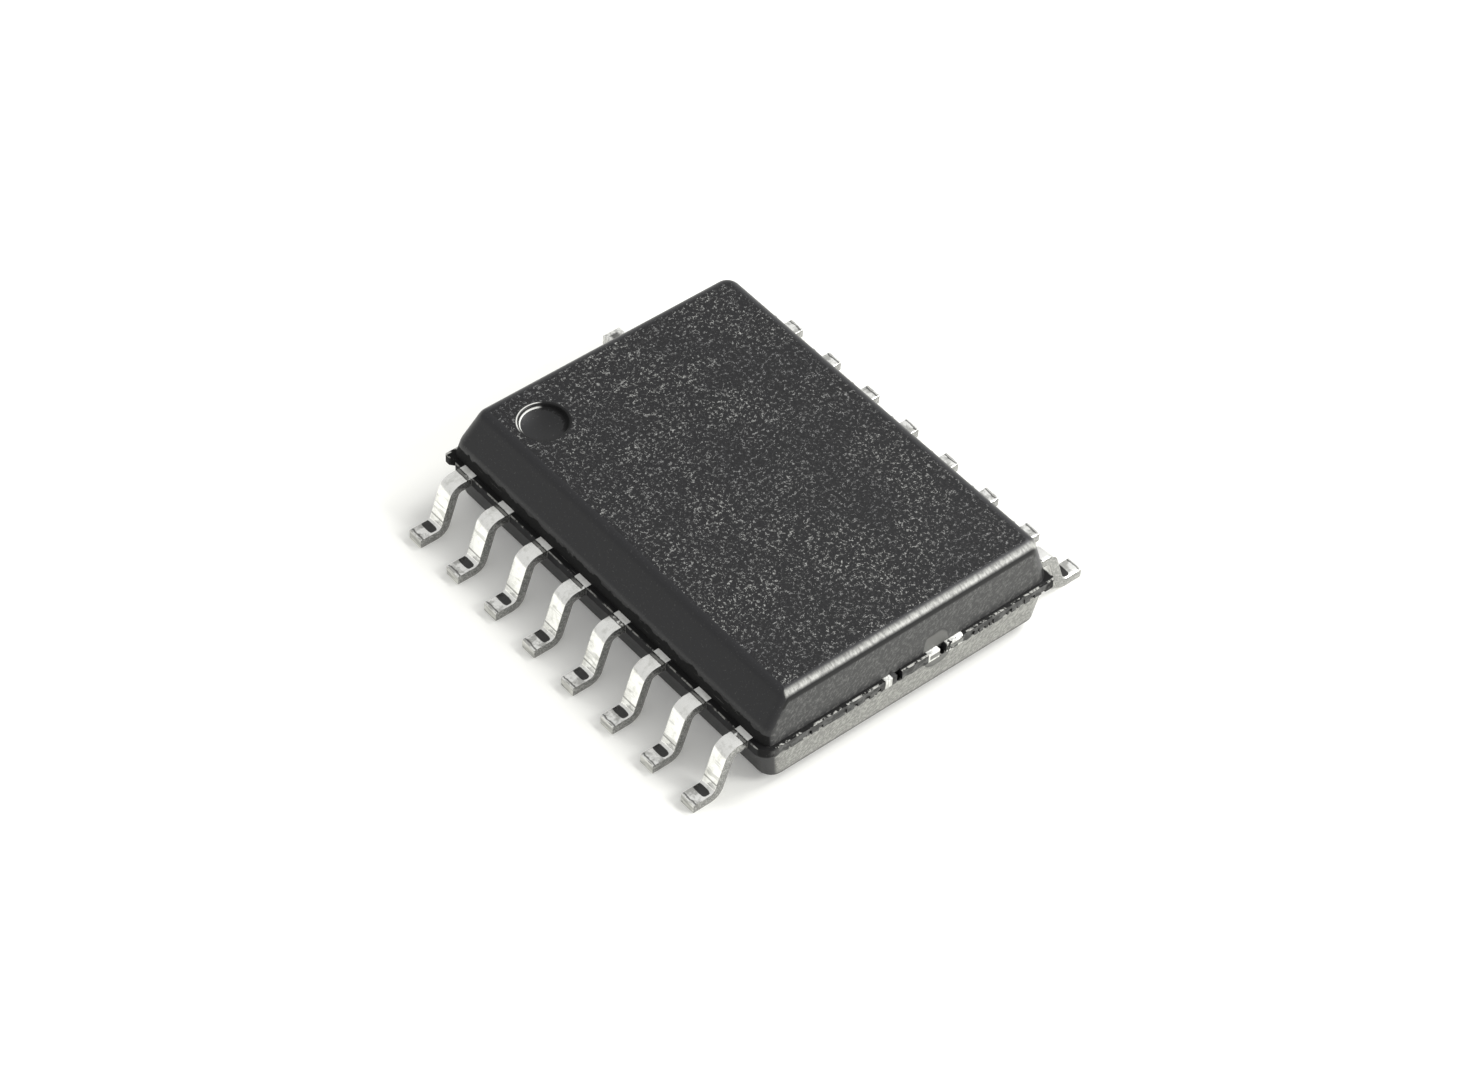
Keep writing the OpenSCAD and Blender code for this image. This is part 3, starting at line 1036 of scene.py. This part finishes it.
# %% Mix the mould compound
def mould_compound():
    material, shader = start_material("mould_compound")
    x, y, z = axes(place_in_mm())
    way_x, way_y, way_z = facing()
    specks, broken = noise(24, 2, 0.6), noise(6, 3, 0.7)
    grain, grain_colour, flat_top = top_grain(z, way_z)
    colour = mottled(specks, 0.62, 0.7, tone(34, 34, 36), grey(60))
    colour = blend(flat_top, colour, grain_colour)
    painted_shade_band, colour = side_look(colour, x, z, broken)
    # The end walls' look carries a painted reflection and painted shade.
    end_wall = end_wall_look(x, y, z)
    colour = mottled(size_of(way_y), 0.85, 0.97, colour, end_wall)
    colour = ledge_look(colour, y, z, way_z, broken)
    colour = rim_look(colour, z, way_x, way_y)
    shade_side, colour = mark_look(colour, x, y, z, grain, specks)
    dull = maths("MAXIMUM", painted_shade_band, shade_side)
    finish_with(shader, colour, ramp(dull, 0.4, 0.9))
    shader.inputs["Specular IOR Level"].default_value = 0.42
    bump_with(shader, times(grain, flat_top), 0.6, 0.02 * MM)
    return material


paint(moulding, mould_compound())
print("mould compound on", moulding.name)

# %% [markdown]
# ## Tin plate
#
# Matt tin over copper alloy, dragged by the folding tools: it is brightest where the strip is flat
# and wiped, greyer where a bend stretched it, and a line of painted shade, for a groove that isn't
# modelled, crosses it by the flash.

# %% The leg and the heel
def leg_look(colour, z, out, bands):
    """Grey marks down the leg and a dark line across the top of the heel."""
    on_leg = band(z, (0.3, 0.4), (1.0, 0.85))
    leg_marks = times(fade(bands, 0.54, 0.66), on_leg, 0.45)
    colour = blend(leg_marks, colour, tone(150, 150, 146))
    heel_line = band(z, (0.4, 0.415), (0.45, 0.43))
    heel_line = times(heel_line, fade(out, -0.47, -0.49, tip_mm), 0.7)
    return blend(heel_line, colour, tone(96, 96, 94))


# %% The foot
def foot_look(colour, y, z, out, way_z, mottle, fine):
    """A painted dark reflection as a squarish patch next to the heel, a dull middle and a thin line
    short of the tip.
    """
    foot_top = times(fade(way_z, 0.7, 0.9), fade(z, 0.3, 0.26))
    along = wander(out, mottle, 0.12)
    dull_foot = times(foot_top, fade(along, -0.33, -0.29, tip_mm), fade(mottle, 0.4, 0.6))
    colour = blend(times(dull_foot, 0.6), colour, tone(150, 150, 146))

    # Painted reflection: a dark, squarish patch on each foot's top next to the heel.
    fraction = maths("FRACT", maths("DIVIDE", y, pitch / MM))
    across = times(maths("SUBTRACT", fraction, 0.5), pitch / MM)
    patch_long = in_halves(out, tip_mm - 0.38, 0.095)
    patch_wide = in_halves(across, 0.03, 0.185)
    squarish = maths("ADD", times(patch_long, patch_long, patch_long, patch_long),
                     times(patch_wide, patch_wide, patch_wide, patch_wide))
    squarish = wander(squarish, fine, 0.6)
    heel_dark_reflection = times(foot_top, fade(squarish, 1.2, 0.8), 0.95)
    colour = blend(heel_dark_reflection, colour, grey(30))

    tip_line = band(along, (-0.09, -0.075), (-0.04, -0.055), tip_mm)
    tip_line = times(foot_top, tip_line, 0.8)
    return blend(tip_line, colour, tone(70, 70, 68))


# %% The cut edges and the root
def cut_look(colour, out, way_x, way_y, fine, bands):
    """Grey sheared sides, and the tip that was cut through last."""
    side_tone = mottled(fine, 0.4, 0.65, tone(108, 108, 106), tone(168, 168, 165))
    sheared = times(fade(size_of(way_y), 0.8, 0.95), 0.9)
    colour = blend(sheared, colour, side_tone)
    tip_tone = mottled(bands, 0.4, 0.6, tone(228, 228, 222), tone(186, 186, 182))
    cut_tip = times(fade(size_of(way_x), 0.85, 0.95), fade(out, -0.05, -0.02, tip_mm))
    return blend(cut_tip, colour, tip_tone)


def root_look(colour, z, out, mottle, fine):
    """Painted shade of a shallow groove across the strip beside the flash, which isn't modelled,
    paler in its middle.
    """
    ragged = wander(out, fine, 0.03)
    # Painted shade: a dark line across each lead just outside the flash.
    groove = times(band(ragged, (0.005, 0.015), (0.12, 0.105), flash_mm),
                   fade(z, -0.06, -0.02, strip_top_mm), fade(mottle, 0.34, 0.44))
    middle = band(ragged, (0.03, 0.04), (0.1, 0.09), flash_mm)
    painted_groove_shade = blend(middle, tone(36, 36, 34), tone(128, 128, 124))
    return blend(groove, colour, painted_groove_shade)


# %% Plate the leads
def tin_plate():
    material, shader = start_material("tin_plate")
    x, y, z = axes(place_in_mm())
    way_x, way_y, way_z = facing()
    out = size_of(x)
    mottle, fine = noise(5, 3, 0.6), noise(26, 2, 0.6)
    bands = noise(7, 2, 0.5, stretch=(0.3, 0.25, 1.3))
    colour = mottled(mottle, 0.45, 0.75, tone(252, 252, 248), tone(224, 224, 218))
    colour = leg_look(colour, z, out, bands)
    colour = foot_look(colour, y, z, out, way_z, mottle, fine)
    colour = cut_look(colour, out, way_x, way_y, fine, bands)
    colour = root_look(colour, z, out, mottle, fine)
    finish_with(shader, colour, ramp(fine, 0.12, 0.26))
    root = fade(out, 0.03, -0.01, flash_mm)
    plug(ramp(root, 0.75, 0.1), shader.inputs["Metallic"])
    bump_with(shader, mottle, 0.25, 0.012 * MM)
    return material


tin = tin_plate()
for lead in leads:
    paint(lead, tin)
print("tin on", len(leads), "leads")

# %% [markdown]
# ## The hidden pieces
#
# Copper alloy for the paddle, with its cut ends tinned where they reach the flange, and simple
# finishes for the adhesive, the die and the gold wires inside the block.

# %% The cut ends of the tie bars
def cut_end_look(x, y, z):
    """Sheared tin, a dull core in the two bars on the right, black smears and a dark spot."""
    shear_marks = noise(12, 3, 0.6, stretch=(2, 2, 0.3))
    colour = mottled(shear_marks, 0.35, 0.65, tone(250, 250, 244), tone(190, 190, 186))
    at_near_end = fade(y, 0.15, 0.05, -flange_mm)
    from_core = size_of(z, (strip_low_mm + strip_top_mm) / 2)
    core = times(fade(from_core, 0.07, 0.05), at_near_end, fade(x, 0.44, 0.48))
    colour = blend(core, colour, tone(120, 120, 117))
    smear = fade(noise(7, 2, 0.7), 0.48, 0.42)
    right_smear = times(smear, fade(x, 0.85, 0.95), at_near_end)
    left_smear = band(x, (-0.55, -0.52), (-0.2, -0.3))
    stub_spot = times(band(y, (-0.31, -0.26), (-0.06, -0.11), stub_mm),
                      fade(size_of(x, tie_bars[2][0] / MM), 0.14, 0.06), 0.8)
    black = maths("MAXIMUM", maths("MAXIMUM", right_smear, left_smear), stub_spot)
    return blend(black, colour, grey(24))


# %% Finish the paddle
def leadframe_copper():
    material, shader = start_material("leadframe_copper")
    x, y, z = axes(place_in_mm())
    roll_marks = noise(8, 3, 0.6, stretch=(4, 0.2, 4))
    copper = mottled(roll_marks, 0.3, 0.7, tone(214, 150, 112), tone(190, 122, 86))
    tinned = fade(size_of(y), -0.2, -0.15, flange_mm)
    colour = blend(tinned, copper, cut_end_look(x, y, z))
    finish_with(shader, colour, ramp(roll_marks, 0.3, 0.45))
    bare = maths("SUBTRACT", 1.0, times(tinned, 0.6))
    plug(bare, shader.inputs["Metallic"])
    return material


paint(paddle, leadframe_copper())
print("copper on", paddle.name)


# %% Finish the die, its adhesive and the wires
def inner_finish(name, light, dark, metallic, rough_low, rough_high, scale):
    material, shader = start_material(name)
    cloud = noise(scale, 3, 0.6)
    colour = mottled(cloud, 0.35, 0.65, light, dark)
    finish_with(shader, colour, ramp(cloud, rough_low, rough_high))
    shader.inputs["Metallic"].default_value = metallic
    return material


inner_finishes = {
    "die_attach": inner_finish("die_adhesive", tone(204, 204, 200), tone(170, 170, 166),
                               metallic=0.3, rough_low=0.4, rough_high=0.6, scale=12),
    "silicon_die": inner_finish("silicon", tone(120, 126, 140), tone(96, 100, 116),
                                metallic=0.2, rough_low=0.12, rough_high=0.2, scale=5),
    "bond_wire": inner_finish("bond_wire", tone(255, 214, 120), tone(240, 190, 96),
                              metallic=1.0, rough_low=0.18, rough_high=0.3, scale=40),
}
for name, material in inner_finishes.items():
    nodes = [o for o in bpy.data.objects if o.name.startswith(name)]
    for inner_node in nodes:
        paint(inner_node, material)
    print(material.name, "on", len(nodes), "nodes")

# %% [markdown]
# ## The table and the light
#
# The chip lies on a white table. The floor's own colour is near white, and a part of its brightness
# is emission that only camera, mirror and glass rays see, so that it shows white while it keeps the
# soft shadow under the body.

# %% Lay the floor
def floor_white():
    material, shader = start_material("floor_white")
    shader.inputs["Base Color"].default_value = tone(240, 240, 235)
    shader.inputs["Roughness"].default_value = 0.9
    shader.inputs["Specular IOR Level"].default_value = 0.1
    path = add_node("LightPath", {}).outputs
    seen = maths("MAXIMUM", path["Is Camera Ray"], path["Is Glossy Ray"])
    seen = maths("MAXIMUM", seen, path["Is Transmission Ray"])
    shader.inputs["Emission Color"].default_value = (1, 1, 1, 1)
    plug(times(seen, 0.15), shader.inputs["Emission Strength"])
    return material


clear_selection()
bpy.ops.mesh.primitive_plane_add(size=0.6)
floor = bpy.context.active_object
floor.name = "floor"
paint(floor, floor_white())

# %% [markdown]
# Light comes from a pale room and two soft lamps. The stronger one stands to the right, so that the
# shadow falls under the leads of the pin 1 side. The weaker one stands in front of the near end,
# lights its rim and walls, and leaves the grained top dark.

# %% Light the room
world = bpy.data.worlds.new("room")
bpy.context.scene.world = world
world.use_nodes = True
world.node_tree.nodes["Background"].inputs["Color"].default_value = (1, 1, 1, 1)
world.node_tree.nodes["Background"].inputs["Strength"].default_value = 0.65


def soft_lamp(name, direction, distance, size, watts):
    data = bpy.data.lights.new(name, "AREA")
    data.shape = "DISK"
    data.size = size
    data.energy = watts
    lamp = bpy.data.objects.new(name, data)
    bpy.context.scene.collection.objects.link(lamp)
    way = Vector(direction).normalized()
    turn = way.to_track_quat("Z", "Y").to_matrix().to_4x4()
    lamp.matrix_world = Matrix.Translation(way * distance) @ turn
    return lamp


lamps = [
    soft_lamp("right_lamp", (0.7, -0.1, 0.71), distance=0.25, size=0.12, watts=0.4),
    soft_lamp("near_end_lamp", (0.5, -0.65, 0.55), distance=0.2, size=0.075, watts=0.22),
]
print("lamps:", [lamp.name for lamp in lamps])
